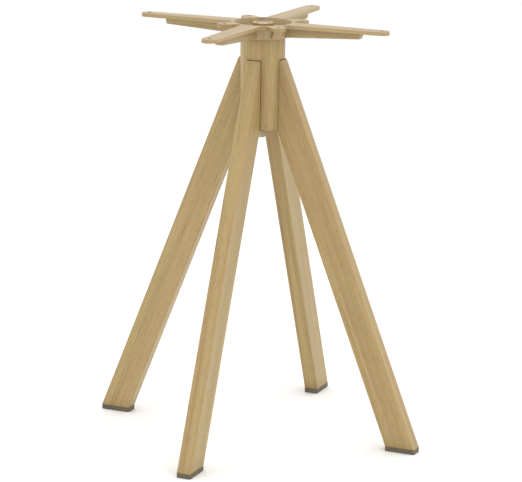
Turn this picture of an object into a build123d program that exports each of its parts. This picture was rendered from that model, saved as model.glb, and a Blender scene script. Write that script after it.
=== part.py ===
from build123d import *
import math
import os

# Star table base: a cast four-armed spider on a slotted round column that takes four raked legs.
# Millimetres, +Z up, floor at Z = 0, column on the Z axis, legs and arms along X and Y.

# Overall sizes
BASE_HEIGHT = 720.0
FOOT_REACH = 302.0
LIMBS = 4
SIDES = ("right", "back", "left", "front")

# Spider: arms and ears
ARM_HOLE_CIRCLE = 428.0
ARM_HOLE = 7.0
ARM_TIP_WIDTH = 26.6
ARM_ROOT_WIDTH = 38.0
ARM_PLATE = 6.2
EAR_HOLE_CIRCLE = 140.0
EAR_HOLE = 7.0
EAR_WIDTH = 25.0
EAR_NECK_WIDTH = 28.0
NOTCH_FILLET = 6.0
NOTCH_SHARE = 0.7
EDGE_BREAK = 0.7

# Spider: ribs under the arms and webs under the ears
RIB_WIDTH = 14.0
RIB_WALL = 3.5
RIB_END_SETBACK = 37.0
RIB_END_SLANT = 3.0
RIB_TIP_DEPTH = 15.8
RIB_ROOT_DEPTH = 23.4
WEB_THICKNESS = 6.0
WEB_SETBACK = 6.0
WEB_TOE_HEIGHT = 3.0
WEB_FOOT = 5.0

# Spider: hub
HUB_DEPTH = 25.0
RIM_WIDTH = 5.0
RIM_LEDGE = 4.0
DISH_DIAMETER = 97.0
DISH_DEPTH = 10.0
DISH_TAPER = 4.0
HUB_FLOOR = 4.5
COLLAR_LIP = 5.0
BOSS_DIAMETER = 35.7
BOSS_DROP = 1.0
POST_WALL = 5.5
SPIGOT_LENGTH = 8.0
SPIGOT_WALL = 5.0
SPIGOT_FIT = 0.3
HUB_RIB = 5.0

# Column sleeve
SLEEVE_DIAMETER = 76.1
SLEEVE_WALL = 2.9
SLEEVE_SKIRT = 8.0
SLOT_SIDE_GAP = 0.8
SLOT_TOP_GAP = 0.6

# Legs
LEG_WIDE = 50.0
LEG_THICK = 25.0
LEG_WALL = 1.5
LEG_CORNER = 2.5
LEG_SHARP = 0.5
LEG_DROP = 36.5
LEG_PROUD = 2.0

# Foot glides
GLIDE_FLANGE = 8.5
GLIDE_PROUD = 0.5
GLIDE_CORNER = 4.0
GLIDE_EDGE = 1.0
GLIDE_PLUG = 28.0
GLIDE_WALL = 2.0
GLIDE_FIT = 0.2

# Core tube, leg end plates and the screws between them
CORE_CORNER = 5.0
CORE_WALL = 3.0
CORE_CLEARANCE = 1.8
END_PLATE = 5.0
END_PLATE_FIT = 0.6
SCREW_SIZE = 8.0
SCREW_HOLE_GAP = 0.25
SCREW_THREAD_GAP = 0.05
SCREW_END = 3.0
SCREW_INSET = 32.0
SCREW_HEX = 13.0
SCREW_HEAD_HEIGHT = 5.3

# Tie bolt with the cap under the column, its washer and its nut
TIE_SIZE = 12.0
TIE_HEX = 18.0
TIE_HOLE_GAP = 0.5
TIE_THREAD_GAP = 0.05
TIE_HEAD_HEIGHT = 7.5
TIE_HEAD_GAP = 1.1
TIE_HEAD_SINK = 0.4
TIE_END = 2.5
TIE_END_CHAMFER = 1.2
BOTTOM_LIP = 2.0
BOTTOM_LIP_STEP = 1.0
BOTTOM_PLUG = 5.0
BOTTOM_PLUG_FIT = 0.3
BOTTOM_LEG_GAP = 1.0
WASHER_DIAMETER = 24.0
WASHER_THICKNESS = 3.0
NUT_HEIGHT = 10.8

# Radii that follow from the sizes above
sleeve_radius = SLEEVE_DIAMETER / 2
bore_radius = sleeve_radius - SLEEVE_WALL
core_half = (bore_radius - CORE_CLEARANCE - CORE_CORNER) / math.sqrt(2) + CORE_CORNER
core_bore_half = core_half - CORE_WALL
cope_radius = core_half + END_PLATE
dish_radius = DISH_DIAMETER / 2
rim_radius = dish_radius + RIM_WIDTH
collar_radius = sleeve_radius + COLLAR_LIP
boss_radius = BOSS_DIAMETER / 2
arm_hole_radius = ARM_HOLE_CIRCLE / 2
ear_hole_radius = EAR_HOLE_CIRCLE / 2
tie_hole_radius = TIE_SIZE / 2 + TIE_HOLE_GAP
tie_hex_corner = TIE_HEX / math.sqrt(3)
screw_radius = SCREW_SIZE / 2

# Fillet between an arm and an ear, held to a share of the rim that is left between them
arm_angle = math.asin(ARM_ROOT_WIDTH / 2 / rim_radius)
ear_angle = math.asin(EAR_NECK_WIDTH / 2 / rim_radius)
notch_gap = rim_radius * (math.pi / LIMBS - arm_angle - ear_angle)
notch_fillet = min(NOTCH_FILLET, NOTCH_SHARE * notch_gap)

# Heights from the top down to the leg tops
plate_under = BASE_HEIGHT - ARM_PLATE
boss_top = BASE_HEIGHT - BOSS_DROP
dish_floor = BASE_HEIGHT - DISH_DEPTH
hub_roof = dish_floor - HUB_FLOOR
sleeve_top = BASE_HEIGHT - HUB_DEPTH
core_top = sleeve_top - SPIGOT_LENGTH
leg_top = sleeve_top - LEG_DROP
slot_top = leg_top + SLOT_TOP_GAP

# Rake of the legs: the outer face runs from its reach at floor level to just proud of the sleeve
rake = (FOOT_REACH - sleeve_radius - LEG_PROUD) / leg_top
lean = math.atan(rake)
leg_run = LEG_WIDE / math.cos(lean)
cope_bottom = (FOOT_REACH - leg_run - cope_radius) / rake

# Heights of what hangs below the leg tops
sleeve_bottom = cope_bottom - SLEEVE_SKIRT
core_bottom = sleeve_bottom + BOTTOM_PLUG
lip_bottom = sleeve_bottom - BOTTOM_LIP
nut_top = lip_bottom - WASHER_THICKNESS
nut_bottom = nut_top - NUT_HEIGHT
tie_end = nut_bottom - TIE_END
tie_seat = boss_top - TIE_HEAD_SINK - TIE_HEAD_HEIGHT
screw_spots = [(0, core_bottom + SCREW_INSET), (0, leg_top - SCREW_INSET)]

# Plane square to a leg that stands towards +X, with its origin on the leg's centre line at the floor
leg_plane = Plane(
    origin=(FOOT_REACH - leg_run / 2, 0, 0),
    x_dir=(math.cos(lean), 0, math.sin(lean)),
    z_dir=(-math.sin(lean), 0, math.cos(lean)),
)


def leg_section(inset, mode=Mode.ADD):
    """Rounded rectangle of the leg tube, drawn in by the inset all round."""
    corner = max(LEG_CORNER - inset, LEG_SHARP)
    RectangleRounded(LEG_WIDE - 2 * inset, LEG_THICK - 2 * inset, corner, mode=mode)


def save(piece, name):
    """Label a finished piece and write it out."""
    piece.part.label = name
    export_step(piece.part, f"parts/{name}.step")


os.makedirs("parts", exist_ok=True)

# Outline of one arm: a long taper with a round tip about its hole
with BuildSketch() as arm_outline:
    Circle(ARM_ROOT_WIDTH / 2)
    with Locations((arm_hole_radius, 0)):
        Circle(ARM_TIP_WIDTH / 2)
    make_hull()

# Outline of one ear
with BuildSketch() as ear_outline:
    with Locations((dish_radius, 0)):
        Circle(EAR_NECK_WIDTH / 2)
    with Locations((ear_hole_radius, 0)):
        Circle(EAR_WIDTH / 2)
    make_hull()

# Rib under one arm: two walls that close round its outer end
rib_end = arm_hole_radius - RIB_END_SETBACK
rib_start = bore_radius
rib_tip_level = BASE_HEIGHT - RIB_TIP_DEPTH
rib_root_level = BASE_HEIGHT - RIB_ROOT_DEPTH
with BuildPart() as arm_rib:
    with BuildSketch(Plane.XZ):
        with BuildLine():
            Polyline(
                (rib_start, plate_under),
                (rib_end + RIB_END_SLANT, plate_under),
                (rib_end, rib_tip_level),
                (rib_start, rib_root_level),
                close=True,
            )
        make_face()
    extrude(amount=RIB_WIDTH / 2, both=True)
    with BuildSketch(Plane.XY.offset(plate_under)):
        with BuildLine():
            Polyline(
                (rim_radius + RIB_WALL, RIB_WIDTH / 2 - RIB_WALL),
                (rib_end - RIB_WALL, RIB_WIDTH / 2 - RIB_WALL),
                (rib_end - RIB_WALL, RIB_WALL - RIB_WIDTH / 2),
                (rim_radius + RIB_WALL, RIB_WALL - RIB_WIDTH / 2),
                close=True,
            )
        make_face()
    extrude(amount=-RIB_ROOT_DEPTH, mode=Mode.SUBTRACT)

# Web under one ear, from the collar out to the ear's hole boss
web_reach = ear_hole_radius - EAR_HOLE / 2 - WEB_SETBACK
with BuildPart() as ear_web:
    with BuildSketch(Plane.XZ):
        with BuildLine():
            Polyline(
                (rib_start, plate_under),
                (web_reach, plate_under),
                (collar_radius + WEB_FOOT, sleeve_top + WEB_TOE_HEIGHT),
                (rib_start, sleeve_top + WEB_TOE_HEIGHT / 2),
                close=True,
            )
        make_face()
    extrude(amount=WEB_THICKNESS / 2, both=True)

# Stiffener inside the hub, between the bolt post and the spigot
with BuildPart() as hub_rib:
    with BuildSketch(Plane.XZ):
        with BuildLine():
            Polyline(
                (tie_hole_radius + POST_WALL / 2, hub_roof),
                (bore_radius - SPIGOT_WALL / 2, hub_roof),
                (bore_radius - SPIGOT_WALL / 2, core_top),
                (tie_hole_radius + POST_WALL / 2, core_top),
                close=True,
            )
        make_face()
    extrude(amount=HUB_RIB / 2, both=True)

with BuildPart() as top_spider:
    # Flat star of arms, ears and rim
    with BuildSketch(Plane.XY.offset(BASE_HEIGHT)) as star:
        Circle(rim_radius)
        with PolarLocations(0, LIMBS):
            add(arm_outline.sketch)
        with PolarLocations(0, LIMBS, start_angle=180 / LIMBS):
            add(ear_outline.sketch)
        notches = star.vertices().filter_by(
            lambda v: abs(math.hypot(v.X, v.Y) - rim_radius) < 0.01
        )
        fillet(notches, notch_fillet)
    extrude(amount=-ARM_PLATE)
    chamfer(faces().sort_by(Axis.Z)[-1].edges(), EDGE_BREAK)

    # Drum that tapers from under the rim to the collar, with the spigot below it
    with BuildSketch(Plane.XZ):
        with BuildLine():
            Polyline(
                (0, plate_under),
                (rim_radius - RIM_LEDGE, plate_under),
                (collar_radius, sleeve_top + EDGE_BREAK),
                (collar_radius - EDGE_BREAK, sleeve_top),
                (bore_radius - SPIGOT_FIT, sleeve_top),
                (bore_radius - SPIGOT_FIT, core_top),
                (0, core_top),
                close=True,
            )
        make_face()
    revolve(axis=Axis.Z)

    with PolarLocations(0, LIMBS):
        add(arm_rib.part)
    with PolarLocations(0, LIMBS, start_angle=180 / LIMBS):
        add(ear_web.part)

    # Dish round the bolt boss
    with BuildSketch(Plane.XZ):
        with BuildLine():
            Polyline(
                (0, boss_top),
                (boss_radius, boss_top),
                (boss_radius, dish_floor),
                (dish_radius - DISH_TAPER, dish_floor),
                (dish_radius, BASE_HEIGHT),
                (dish_radius, BASE_HEIGHT + ARM_PLATE),
                (0, BASE_HEIGHT + ARM_PLATE),
                close=True,
            )
        make_face()
    revolve(axis=Axis.Z, mode=Mode.SUBTRACT)

    # Hollow under the hub, which leaves the bolt post, the spigot wall and four stiffeners
    with BuildSketch(Plane.XY.offset(core_top)):
        Circle(bore_radius - SPIGOT_WALL)
        Circle(tie_hole_radius + POST_WALL, mode=Mode.SUBTRACT)
    extrude(amount=hub_roof - core_top, mode=Mode.SUBTRACT)
    with PolarLocations(0, LIMBS):
        add(hub_rib.part)

    # Holes for the table top and for the tie bolt
    with Locations((0, 0, BASE_HEIGHT)):
        with PolarLocations(arm_hole_radius, LIMBS):
            Hole(ARM_HOLE / 2)
        with PolarLocations(ear_hole_radius, LIMBS, start_angle=180 / LIMBS):
            Hole(EAR_HOLE / 2)
    with Locations((0, 0, boss_top)):
        CounterBoreHole(
            radius=tie_hole_radius,
            counter_bore_radius=tie_hex_corner + TIE_HEAD_GAP,
            counter_bore_depth=boss_top - tie_seat,
        )
save(top_spider, "top_spider")

with BuildPart() as column_sleeve:
    with BuildSketch(Plane.XY.offset(sleeve_bottom)):
        Circle(sleeve_radius)
        Circle(bore_radius, mode=Mode.SUBTRACT)
    extrude(amount=sleeve_top - sleeve_bottom)
    with BuildSketch(Plane.XY.offset(sleeve_bottom)):
        with PolarLocations(sleeve_radius, LIMBS):
            Rectangle(sleeve_radius, LEG_THICK + 2 * SLOT_SIDE_GAP)
    extrude(amount=slot_top - sleeve_bottom, mode=Mode.SUBTRACT)
save(column_sleeve, "column_sleeve")

with BuildPart() as core_tube:
    with BuildSketch(Plane.XY.offset(core_bottom)):
        RectangleRounded(2 * core_half, 2 * core_half, CORE_CORNER)
        offset(amount=-CORE_WALL, mode=Mode.SUBTRACT)
    extrude(amount=core_top - core_bottom)
    for wall_plane in (Plane.XZ, Plane.YZ):
        with BuildSketch(wall_plane):
            with Locations(*screw_spots):
                Circle(screw_radius + SCREW_HOLE_GAP)
        extrude(amount=2 * core_half, both=True, mode=Mode.SUBTRACT)
save(core_tube, "core_tube")

with BuildPart() as leg:
    with BuildSketch(leg_plane):
        leg_section(0)
        leg_section(LEG_WALL, mode=Mode.SUBTRACT)
    extrude(amount=BASE_HEIGHT, both=True)
    split(bisect_by=Plane.XY.offset(GLIDE_FLANGE), keep=Keep.TOP)
    split(bisect_by=Plane.XY.offset(leg_top), keep=Keep.BOTTOM)
    split(bisect_by=Plane.YZ.offset(cope_radius), keep=Keep.TOP)

# Flat plate welded across the upright cut of a leg, trapped between the core and the sleeve
end_plate_width = 2 * (math.sqrt(bore_radius**2 - cope_radius**2) - END_PLATE_FIT)
with BuildPart() as leg_end_plate:
    with BuildSketch(Plane.YZ.offset(core_half)):
        with Locations((0, (core_bottom + leg_top) / 2)):
            Rectangle(end_plate_width, leg_top - core_bottom)
        with Locations(*screw_spots):
            Circle(screw_radius + SCREW_THREAD_GAP, mode=Mode.SUBTRACT)
    extrude(amount=END_PLATE)

# Two hexagon screws that hold one leg, put in from inside the core
with BuildPart() as leg_screws:
    with BuildSketch(Plane.YZ.offset(core_bore_half)):
        with Locations(*screw_spots):
            RegularPolygon(SCREW_HEX / 2, 6, major_radius=False)
    extrude(amount=-SCREW_HEAD_HEIGHT)
    with BuildSketch(Plane.YZ.offset(core_bore_half)):
        with Locations(*screw_spots):
            Circle(screw_radius)
    extrude(amount=CORE_WALL + END_PLATE + SCREW_END)

# Hollow plug that holds a glide in the foot of its leg
with BuildPart() as glide_plug:
    with BuildSketch(leg_plane):
        leg_section(LEG_WALL + GLIDE_FIT)
        leg_section(LEG_WALL + GLIDE_FIT + GLIDE_WALL, mode=Mode.SUBTRACT)
    extrude(amount=GLIDE_PLUG, both=True)
    split(bisect_by=Plane.XY.offset(GLIDE_FLANGE), keep=Keep.TOP)

with BuildPart() as foot_glide:
    with BuildSketch():
        with Locations((FOOT_REACH - leg_run / 2 - rake * GLIDE_FLANGE, 0)):
            RectangleRounded(leg_run + 2 * GLIDE_PROUD, LEG_THICK + 2 * GLIDE_PROUD, GLIDE_CORNER)
    extrude(amount=GLIDE_FLANGE)
    chamfer(faces().sort_by(Axis.Z)[0].edges(), GLIDE_EDGE)
    add(glide_plug.part)

limb_pieces = {
    "leg": leg,
    "leg_end_plate": leg_end_plate,
    "leg_screws": leg_screws,
    "foot_glide": foot_glide,
}
for index, side in enumerate(SIDES):
    for name, pattern in limb_pieces.items():
        with BuildPart() as placed:
            add(pattern.part, rotation=(0, 0, index * 360 / LIMBS))
        save(placed, f"{name}_{side}")

# Cap under the sleeve: a plug inside it carries the core, a lip carries its tongues
cap_flat = FOOT_REACH - leg_run - rake * core_bottom - BOTTOM_LEG_GAP
cap_steps = (
    (lip_bottom, BOTTOM_LIP, sleeve_radius - BOTTOM_LIP_STEP),
    (sleeve_bottom, BOTTOM_PLUG, bore_radius - BOTTOM_PLUG_FIT),
)
with BuildPart() as bottom_plate:
    for level, height, radius in cap_steps:
        with BuildSketch(Plane.XY.offset(level)):
            Circle(radius)
            Rectangle(2 * cap_flat, 2 * cap_flat, mode=Mode.INTERSECT)
            Circle(tie_hole_radius, mode=Mode.SUBTRACT)
        extrude(amount=height)
save(bottom_plate, "bottom_plate")

with BuildPart() as tie_bolt:
    with BuildSketch(Plane.XY.offset(tie_seat)):
        RegularPolygon(TIE_HEX / 2, 6, major_radius=False)
    extrude(amount=TIE_HEAD_HEIGHT)
    with BuildSketch(Plane.XY.offset(tie_end)):
        Circle(TIE_SIZE / 2)
    extrude(amount=tie_seat - tie_end)
    chamfer(edges().group_by(Axis.Z)[0], TIE_END_CHAMFER)
save(tie_bolt, "tie_bolt")

with BuildPart() as tie_washer:
    with BuildSketch(Plane.XY.offset(nut_top)):
        Circle(WASHER_DIAMETER / 2)
        Circle(tie_hole_radius, mode=Mode.SUBTRACT)
    extrude(amount=WASHER_THICKNESS)
save(tie_washer, "tie_washer")

with BuildPart() as tie_nut:
    with BuildSketch(Plane.XY.offset(nut_bottom)):
        RegularPolygon(TIE_HEX / 2, 6, major_radius=False)
        Circle(TIE_SIZE / 2 + TIE_THREAD_GAP, mode=Mode.SUBTRACT)
    extrude(amount=NUT_HEIGHT)
save(tie_nut, "tie_nut")
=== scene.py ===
import math
from functools import partial

import bpy
from mathutils import Matrix, Vector


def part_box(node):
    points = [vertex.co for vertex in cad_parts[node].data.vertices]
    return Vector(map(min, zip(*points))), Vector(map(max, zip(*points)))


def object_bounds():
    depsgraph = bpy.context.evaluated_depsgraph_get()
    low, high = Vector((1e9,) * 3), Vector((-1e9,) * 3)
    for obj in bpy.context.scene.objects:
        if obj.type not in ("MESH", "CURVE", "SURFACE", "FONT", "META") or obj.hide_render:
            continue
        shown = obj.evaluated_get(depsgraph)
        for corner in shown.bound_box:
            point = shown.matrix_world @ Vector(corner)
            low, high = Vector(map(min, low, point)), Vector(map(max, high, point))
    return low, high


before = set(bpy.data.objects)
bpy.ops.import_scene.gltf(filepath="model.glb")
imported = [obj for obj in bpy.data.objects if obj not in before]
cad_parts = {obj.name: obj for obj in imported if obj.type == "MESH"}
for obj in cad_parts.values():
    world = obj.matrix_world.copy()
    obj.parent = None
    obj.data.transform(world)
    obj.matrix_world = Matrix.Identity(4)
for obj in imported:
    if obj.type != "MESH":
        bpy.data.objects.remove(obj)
cad_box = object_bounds()
scene = bpy.context.scene

# Picture frame and the camera that was fitted to it, in pixels, degrees and metres
IMAGE_WIDTH = 522
IMAGE_HEIGHT = 482
SENSOR_MM = 36.0
CAMERA_AZIMUTH = 23.650
CAMERA_ELEVATION = 13.170
CAMERA_DISTANCE = 4.3218
CAMERA_ROLL = 0.932
CAMERA_CLIP_END = 100.0
FOCAL_PIXELS = 2512.4
AIM_PIXEL = (259.90, 229.39)

# Soft boxes: place, point aimed at and size in metres, power in watts
SOFT_BOXES = {
    "top_box": {"place": (0.3, 0.2, 3.2), "target": (0.0, 0.0, 0.5), "size": (3.0, 3.0), "power": 30.0},
    "right_box": {"place": (3.2, -0.8, 1.4), "target": (0.0, 0.0, 0.4), "size": (2.0, 2.4), "power": 8.0},
    "left_box": {"place": (-2.6, -2.6, 1.6), "target": (0.0, 0.0, 0.4), "size": (2.4, 2.4), "power": 10.0},
}
WORLD_COLOUR = (1.0, 1.0, 1.0, 1.0)
WORLD_STRENGTH = 1.03

# Pale floor, with a half width in metres
FLOOR_HALF_WIDTH = 30.0
FLOOR_COLOURS = ((0.955, 0.955, 0.95, 1.0), (0.975, 0.975, 0.97, 1.0))
FLOOR_ROUGHNESS = 0.8

# Directions that the four legs stand in, in degrees about the column
LEG_TURNS = {"right": 0.0, "back": 90.0, "left": 180.0, "front": 270.0}

# Star: radius of its hub's rim in metres, and how far a normal may rise on what counts as a wall
HUB_REACH = 0.0535
WALL_RISE = 0.6

# Oak-effect coatings of the tubes and of the casting, in linear colours, each with a painted-shade colour
# that darkens its corners and gaps
TUBE_COAT = {
    "dark": (0.312, 0.196, 0.071, 1.0),
    "mid": (0.394, 0.266, 0.108, 1.0),
    "light": (0.467, 0.330, 0.146, 1.0),
    "pore": (0.200, 0.115, 0.040, 1.0),
    # painted shade: colour multiplied in where corners and gaps would fall in shade
    "painted_shade": (0.50, 0.44, 0.38, 1.0),
    "gloss": 0.5,
}
CAST_COAT = {
    "dark": (0.290, 0.180, 0.067, 1.0),
    "mid": (0.366, 0.246, 0.101, 1.0),
    "light": (0.434, 0.304, 0.137, 1.0),
    "pore": (0.200, 0.115, 0.045, 1.0),
    # painted shade: a weaker multiply for the casting's corners and gaps
    "painted_shade": (0.76, 0.72, 0.68, 1.0),
    "gloss": 0.75,
}
OLIVE_TINT = (0.945, 1.0, 0.935, 1.0)
OAK_ROUGHNESS = (0.30, 0.44)
OAK_RELIEF = {"strength": 0.12, "distance": 0.0002}
PORE_DEPTH = 0.6

# Painted shade in corners and gaps: its reach in metres, and how finely it is sampled
PAINTED_SHADE_REACH = 0.03
PAINTED_SHADE_SAMPLES = 16

# Layers of the oak's grain: repeats a metre across and along it, and a shift that sets each layer apart
GRAIN_LAYERS = {
    "broad": {"across": 75.0, "along": 1.6, "detail": 3.0, "roughness": 0.55, "distortion": 0.6},
    "streaks": {"across": 330.0, "along": 5.0, "shift": (3.0, 7.0, 1.0), "detail": 4.0, "roughness": 0.6},
    "fibres": {"across": 1500.0, "along": 26.0, "shift": (5.0, 2.0, 9.0), "detail": 2.0},
    "pores": {"across": 1100.0, "along": 70.0, "shift": (1.0, 8.0, 4.0), "detail": 1.0},
    "flecks": {"across": 260.0, "along": 9.0, "shift": (2.0, 6.0, 3.0), "detail": 2.0},
    "bands": {"across": 42.0, "along": 2.4, "shift": (4.0, 1.0, 6.0), "detail": 2.0},
}

# Share of each layer in the oak's tone, and the tones at which its colours lie
TONE_SHARES = {"broad": 0.46, "streaks": 0.38, "fibres": 0.16}
TONE_STOPS = {"dark": 0.35, "mid": 0.485, "light": 0.63}

# Noise levels between which a layer comes in, and how strongly it shows above them
BAND_SHOW = {"span": (0.36, 0.64), "most": 1.0}
PORE_SHOW = {"span": (0.62, 0.72), "most": 0.55}
FLECK_SHOW = {"span": (0.69, 0.75), "most": 0.60}

# Glide plastic, with the repeats a metre of its clouds and of its moulded grain
GLIDE_COLOURS = ((0.103, 0.082, 0.049, 1.0), (0.133, 0.108, 0.070, 1.0))
GLIDE_ROUGHNESS = (0.45, 0.65)
GLIDE_CLOUD = {"scale": 55.0, "detail": 2.0}
GLIDE_GRAIN = {"scale": 2600.0, "detail": 2.0}
GLIDE_RELIEF = {"strength": 0.2, "distance": 0.00015}

# Metals, with the clouds and the turned marks that they share
ZINC = {
    "colours": ((0.45, 0.380, 0.245, 1.0), (0.57, 0.490, 0.320, 1.0)),
    "roughness": (0.28, 0.45),
    "metallic": 0.2,
}
WARM_ZINC = {
    "colours": ((0.41, 0.320, 0.175, 1.0), (0.53, 0.420, 0.232, 1.0)),
    "roughness": (0.28, 0.45),
    "metallic": 0.2,
}
STEEL = {
    "colours": ((0.20, 0.20, 0.21, 1.0), (0.34, 0.34, 0.35, 1.0)),
    "roughness": (0.40, 0.60),
    "metallic": 1.0,
}
METAL_CLOUD = {"scale": 180.0, "detail": 3.0}
METAL_MARKS = {"across": 900.0, "along": 4000.0, "detail": 2.0}
METAL_RELIEF = {"strength": 0.1, "distance": 0.0001}

# Noise levels at which the two colours of a cloudy surface lie, and the floor's clouds
SOFT_CLOUD_STOPS = (0.3, 0.7)
METAL_CLOUD_STOPS = (0.35, 0.65)
FLOOR_CLOUD = {"scale": 3.0, "detail": 2.0}

# Sockets of the Mix node, whose names repeat for each type of data
MIX_FACTOR = 0
MIX_VECTOR_FIRST, MIX_VECTOR_SECOND, MIX_VECTOR_RESULT = 4, 5, 1
MIX_COLOUR_FIRST, MIX_COLOUR_SECOND, MIX_COLOUR_RESULT = 6, 7, 2


class Nodes:
    """Short way to build a material's node tree."""

    def __init__(self, name):
        self.material = bpy.data.materials.new(name)
        self.material.use_nodes = True
        self.tree = self.material.node_tree
        self.shader = self.tree.nodes["Principled BSDF"]

    def add(self, kind, **settings):
        node = self.tree.nodes.new(kind)
        for key, value in settings.items():
            setattr(node, key, value)
        return node

    def link(self, output, target):
        self.tree.links.new(output, target)

    def place(self):
        """Position in the frame, in metres."""
        return self.add("ShaderNodeTexCoord").outputs["Object"]

    def split(self, vector):
        """The X, Y and Z of a vector."""
        node = self.add("ShaderNodeSeparateXYZ")
        self.link(vector, node.inputs[0])
        return node.outputs

    def math(self, operation, *values):
        """One step of arithmetic on outputs or plain numbers."""
        node = self.add("ShaderNodeMath", operation=operation)
        for socket, value in zip(node.inputs, values):
            if isinstance(value, (int, float)):
                socket.default_value = value
            else:
                self.link(value, socket)
        return node.outputs[0]

    def noise(self, vector, scale, detail=3.0, roughness=0.5, distortion=0.0):
        node = self.add("ShaderNodeTexNoise")
        node.inputs["Scale"].default_value = scale
        node.inputs["Detail"].default_value = detail
        node.inputs["Roughness"].default_value = roughness
        node.inputs["Distortion"].default_value = distortion
        self.link(vector, node.inputs["Vector"])
        return node.outputs["Fac"]

    def grain(self, vector, across, along, shift=(0.0, 0.0, 0.0), **settings):
        """Noise with its own repeats across and along Z."""
        node = self.add("ShaderNodeMapping")
        node.inputs["Scale"].default_value = (across, across, along)
        node.inputs["Location"].default_value = shift
        self.link(vector, node.inputs["Vector"])
        return self.noise(node.outputs["Vector"], 1.0, **settings)

    def weighted_sum(self, shares):
        """Sum of outputs, each times its share."""
        terms = [self.math("MULTIPLY", output, share) for output, share in shares]
        total = terms[0]
        for term in terms[1:]:
            total = self.math("ADD", total, term)
        return total

    def remap(self, factor, span, target):
        """The span of a factor stretched to the target, and held at its ends."""
        node = self.add("ShaderNodeMapRange")
        node.inputs["From Min"].default_value, node.inputs["From Max"].default_value = span
        node.inputs["To Min"].default_value, node.inputs["To Max"].default_value = target
        self.link(factor, node.inputs["Value"])
        return node.outputs["Result"]

    def show(self, factor, span, most):
        """Zero below the span, then a rise to the most at its end."""
        return self.remap(factor, span, (0.0, most))

    def painted_shade_share(self):
        """Share of painted shade, read from ambient occlusion: 0 in the open, rising in corners and gaps.
        """
        node = self.add("ShaderNodeAmbientOcclusion", samples=PAINTED_SHADE_SAMPLES)
        node.inputs["Distance"].default_value = PAINTED_SHADE_REACH
        return self.math("SUBTRACT", 1.0, node.outputs["AO"])

    def ramp(self, factor, stops):
        node = self.add("ShaderNodeValToRGB")
        ramp = node.color_ramp
        while len(ramp.elements) < len(stops):
            ramp.elements.new(1.0)
        for element, (position, colour) in zip(ramp.elements, stops):
            element.position = position
            element.color = colour
        self.link(factor, node.inputs["Fac"])
        return node.outputs["Color"]

    def mix_colour(self, factor, first, second, blend="MIX"):
        """An output mixed with one plain colour."""
        node = self.add("ShaderNodeMix", data_type="RGBA", blend_type=blend)
        self.link(factor, node.inputs[MIX_FACTOR])
        self.link(first, node.inputs[MIX_COLOUR_FIRST])
        node.inputs[MIX_COLOUR_SECOND].default_value = second
        return node.outputs[MIX_COLOUR_RESULT]

    def mix_vector(self, factor, first, second):
        """One of two vectors, or a blend of them."""
        node = self.add("ShaderNodeMix", data_type="VECTOR")
        self.link(factor, node.inputs[MIX_FACTOR])
        self.link(first, node.inputs[MIX_VECTOR_FIRST])
        self.link(second, node.inputs[MIX_VECTOR_SECOND])
        return node.outputs[MIX_VECTOR_RESULT]

    def set_colour(self, colour):
        self.link(colour, self.shader.inputs["Base Color"])

    def set_cloudy_colour(self, cloud, stops, colours):
        """Base colour that wanders between two colours."""
        self.set_colour(self.ramp(cloud, tuple(zip(stops, colours))))

    def set_roughness(self, factor, limits):
        """Roughness that follows a noise between two limits."""
        self.link(self.remap(factor, (0.0, 1.0), limits), self.shader.inputs["Roughness"])

    def set_relief(self, height, strength, distance):
        """Fine bump on the surface."""
        node = self.add("ShaderNodeBump")
        node.inputs["Strength"].default_value = strength
        node.inputs["Distance"].default_value = distance
        self.link(height, node.inputs["Height"])
        self.link(node.outputs["Normal"], self.shader.inputs["Normal"])


def along_column(nodes, vector):
    """Grain coordinates of the column, which stands along Z already."""
    return vector


def along_axis(nodes, vector, axis):
    """Grain coordinates turned so that the given direction becomes the grain's Z."""
    node = nodes.add("ShaderNodeMapping")
    turn = Vector(axis).rotation_difference(Vector((0.0, 0.0, 1.0)))
    node.inputs["Rotation"].default_value = turn.to_euler()
    nodes.link(vector, node.inputs["Vector"])
    return node.outputs["Vector"]


def along_arms(nodes, vector):
    """Grain coordinates of the star: along each arm, and upright on the walls of its hub."""
    spot = nodes.split(vector)
    nearer_x = nodes.math(
        "GREATER_THAN",
        nodes.math("ABSOLUTE", spot["X"]),
        nodes.math("ABSOLUTE", spot["Y"]),
    )
    along_x = along_axis(nodes, vector, (1.0, 0.0, 0.0))
    along_y = along_axis(nodes, vector, (0.0, 1.0, 0.0))
    arms = nodes.mix_vector(nearer_x, along_y, along_x)

    facing = nodes.split(nodes.add("ShaderNodeNewGeometry").outputs["True Normal"])
    is_wall = nodes.math("LESS_THAN", nodes.math("ABSOLUTE", facing["Z"]), WALL_RISE)
    squares = [nodes.math("POWER", spot[key], 2.0) for key in "XY"]
    radius = nodes.math("SQRT", nodes.math("ADD", *squares))
    on_hub = nodes.math("MULTIPLY", is_wall, nodes.math("LESS_THAN", radius, HUB_REACH))
    return nodes.mix_vector(on_hub, arms, vector)


def leg_axis(turn):
    """Direction up a leg, read from the box of its tube and the column that it runs into."""
    low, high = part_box("leg_right")
    column_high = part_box("column_sleeve")[1]
    slope = (high[0] - column_high[0]) / (high[2] - low[2])
    angle = math.radians(turn)
    return Vector((-slope * math.cos(angle), -slope * math.sin(angle), 1.0)).normalized()


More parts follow.
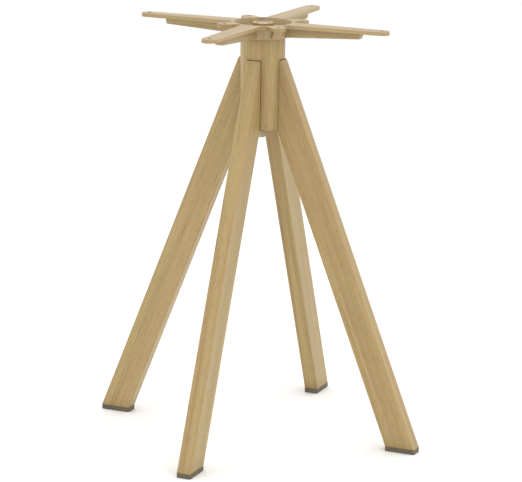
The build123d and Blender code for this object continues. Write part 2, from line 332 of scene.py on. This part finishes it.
def oak_effect(name, coat, grain):
    """Printed light-oak coating: streaks, fibres, pores and rare flecks along the grain, with painted
    shade darkening its corners and gaps.
    """
    nodes = Nodes(name)
    vector = grain(nodes, nodes.place())
    layers = {key: nodes.grain(vector, **layer) for key, layer in GRAIN_LAYERS.items()}

    tone = nodes.weighted_sum([(layers[key], share) for key, share in TONE_SHARES.items()])
    colour = nodes.ramp(tone, [(stop, coat[key]) for key, stop in TONE_STOPS.items()])
    colour = nodes.mix_colour(nodes.show(layers["bands"], **BAND_SHOW), colour, OLIVE_TINT, "MULTIPLY")
    colour = nodes.mix_colour(nodes.show(layers["pores"], **PORE_SHOW), colour, coat["pore"])
    colour = nodes.mix_colour(nodes.show(layers["flecks"], **FLECK_SHOW), colour, coat["pore"])
    # Painted shade: the colour multiplied towards the coat's shade colour in corners and gaps
    colour = nodes.mix_colour(nodes.painted_shade_share(), colour, coat["painted_shade"], "MULTIPLY")
    nodes.set_colour(colour)

    nodes.set_roughness(layers["streaks"], OAK_ROUGHNESS)
    nodes.shader.inputs["Specular IOR Level"].default_value = coat["gloss"]
    sunk_pores = nodes.math("MULTIPLY", layers["pores"], PORE_DEPTH)
    nodes.set_relief(nodes.math("SUBTRACT", layers["fibres"], sunk_pores), **OAK_RELIEF)
    return nodes.material


def moulded_plastic(name):
    """Dark glide plastic with a fine moulded grain."""
    nodes = Nodes(name)
    vector = nodes.place()
    grain = nodes.noise(vector, **GLIDE_GRAIN)
    nodes.set_cloudy_colour(nodes.noise(vector, **GLIDE_CLOUD), SOFT_CLOUD_STOPS, GLIDE_COLOURS)
    nodes.set_roughness(grain, GLIDE_ROUGHNESS)
    nodes.set_relief(grain, **GLIDE_RELIEF)
    return nodes.material


def cloudy_metal(name, metal):
    """Metal or plate with cloudy colour and faint turned marks."""
    nodes = Nodes(name)
    vector = nodes.place()
    marks = nodes.grain(vector, **METAL_MARKS)
    nodes.set_cloudy_colour(nodes.noise(vector, **METAL_CLOUD), METAL_CLOUD_STOPS, metal["colours"])
    nodes.set_roughness(marks, metal["roughness"])
    nodes.shader.inputs["Metallic"].default_value = metal["metallic"]
    nodes.set_relief(marks, **METAL_RELIEF)
    return nodes.material


def pale_floor(name):
    """Almost white floor with the faintest clouds."""
    nodes = Nodes(name)
    cloud = nodes.noise(nodes.place(), **FLOOR_CLOUD)
    nodes.set_cloudy_colour(cloud, SOFT_CLOUD_STOPS, FLOOR_COLOURS)
    nodes.shader.inputs["Roughness"].default_value = FLOOR_ROUGHNESS
    return nodes.material


def dress(node, material):
    """Give a CAD node one material."""
    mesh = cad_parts[node].data
    mesh.materials.clear()
    mesh.materials.append(material)


def dress_parts():
    """Give every CAD node its material, with the oak's grain along each tube and arm."""
    column_oak = oak_effect("oak_effect_column", TUBE_COAT, along_column)
    plastic = moulded_plastic("glide_plastic")
    zinc = cloudy_metal("zinc_plate", ZINC)

    dress("top_spider", oak_effect("oak_effect_star", CAST_COAT, along_arms))
    dress("column_sleeve", column_oak)
    dress("bottom_plate", column_oak)
    dress("core_tube", cloudy_metal("plain_steel", STEEL))
    dress("tie_bolt", cloudy_metal("warm_zinc_plate", WARM_ZINC))
    dress("tie_washer", zinc)
    dress("tie_nut", zinc)
    for side, turn in LEG_TURNS.items():
        along_leg = partial(along_axis, axis=leg_axis(turn))
        dress(f"leg_{side}", oak_effect(f"oak_effect_leg_{side}", TUBE_COAT, along_leg))
        dress(f"foot_glide_{side}", plastic)
        dress(f"leg_end_plate_{side}", column_oak)
        dress(f"leg_screws_{side}", zinc)


def add_floor():
    """Wide floor under the feet."""
    half = FLOOR_HALF_WIDTH
    mesh = bpy.data.meshes.new("floor")
    corners = [(x * half, y * half, 0.0) for x, y in ((-1, -1), (1, -1), (1, 1), (-1, 1))]
    mesh.from_pydata(corners, [], [(0, 1, 2, 3)])
    mesh.materials.append(pale_floor("pale_floor"))
    floor = bpy.data.objects.new("floor", mesh)
    scene.collection.objects.link(floor)


def add_world():
    """Even white light from all round."""
    world = bpy.data.worlds.new("studio")
    world.use_nodes = True
    background = world.node_tree.nodes["Background"]
    background.inputs["Color"].default_value = WORLD_COLOUR
    background.inputs["Strength"].default_value = WORLD_STRENGTH
    scene.world = world


def add_soft_box(name, place, target, size, power):
    """Rectangular area lamp that faces its target."""
    light = bpy.data.lights.new(name, "AREA")
    light.shape = "RECTANGLE"
    light.size, light.size_y = size
    light.energy = power
    lamp = bpy.data.objects.new(name, light)
    lamp.location = place
    lamp.rotation_euler = (Vector(target) - Vector(place)).to_track_quat("-Z", "Y").to_euler()
    scene.collection.objects.link(lamp)


def add_camera():
    """Camera of the fitted view, turned so that the object's middle falls on the aim's pixel."""
    azimuth, elevation, roll = (
        math.radians(angle) for angle in (CAMERA_AZIMUTH, CAMERA_ELEVATION, CAMERA_ROLL)
    )
    back = Vector((
        math.sin(azimuth) * math.cos(elevation),
        -math.cos(azimuth) * math.cos(elevation),
        math.sin(elevation),
    ))
    level = Vector((math.cos(azimuth), math.sin(azimuth), 0.0))
    up = back.cross(level)
    right = math.cos(roll) * level + math.sin(roll) * up
    up = back.cross(right)
    middle = Vector((0.0, 0.0, (cad_box[0][2] + cad_box[1][2]) / 2))
    place = middle + back * CAMERA_DISTANCE

    # Line of sight through the picture's centre
    sight = -back
    sight = sight + right * ((IMAGE_WIDTH / 2 - AIM_PIXEL[0]) / FOCAL_PIXELS)
    sight = sight - up * ((IMAGE_HEIGHT / 2 - AIM_PIXEL[1]) / FOCAL_PIXELS)
    back = -sight.normalized()
    right = (right - back * right.dot(back)).normalized()
    up = back.cross(right)

    data = bpy.data.cameras.new("camera")
    data.sensor_fit = "HORIZONTAL"
    data.sensor_width = SENSOR_MM
    data.lens = FOCAL_PIXELS / IMAGE_WIDTH * SENSOR_MM
    data.clip_end = CAMERA_CLIP_END
    camera = bpy.data.objects.new("camera", data)
    camera.matrix_world = Matrix.Translation(place) @ Matrix((right, up, back)).transposed().to_4x4()
    scene.collection.objects.link(camera)
    scene.camera = camera


dress_parts()
add_floor()
add_world()
for box_name, box in SOFT_BOXES.items():
    add_soft_box(box_name, **box)
add_camera()
scene.view_settings.view_transform = "Standard"
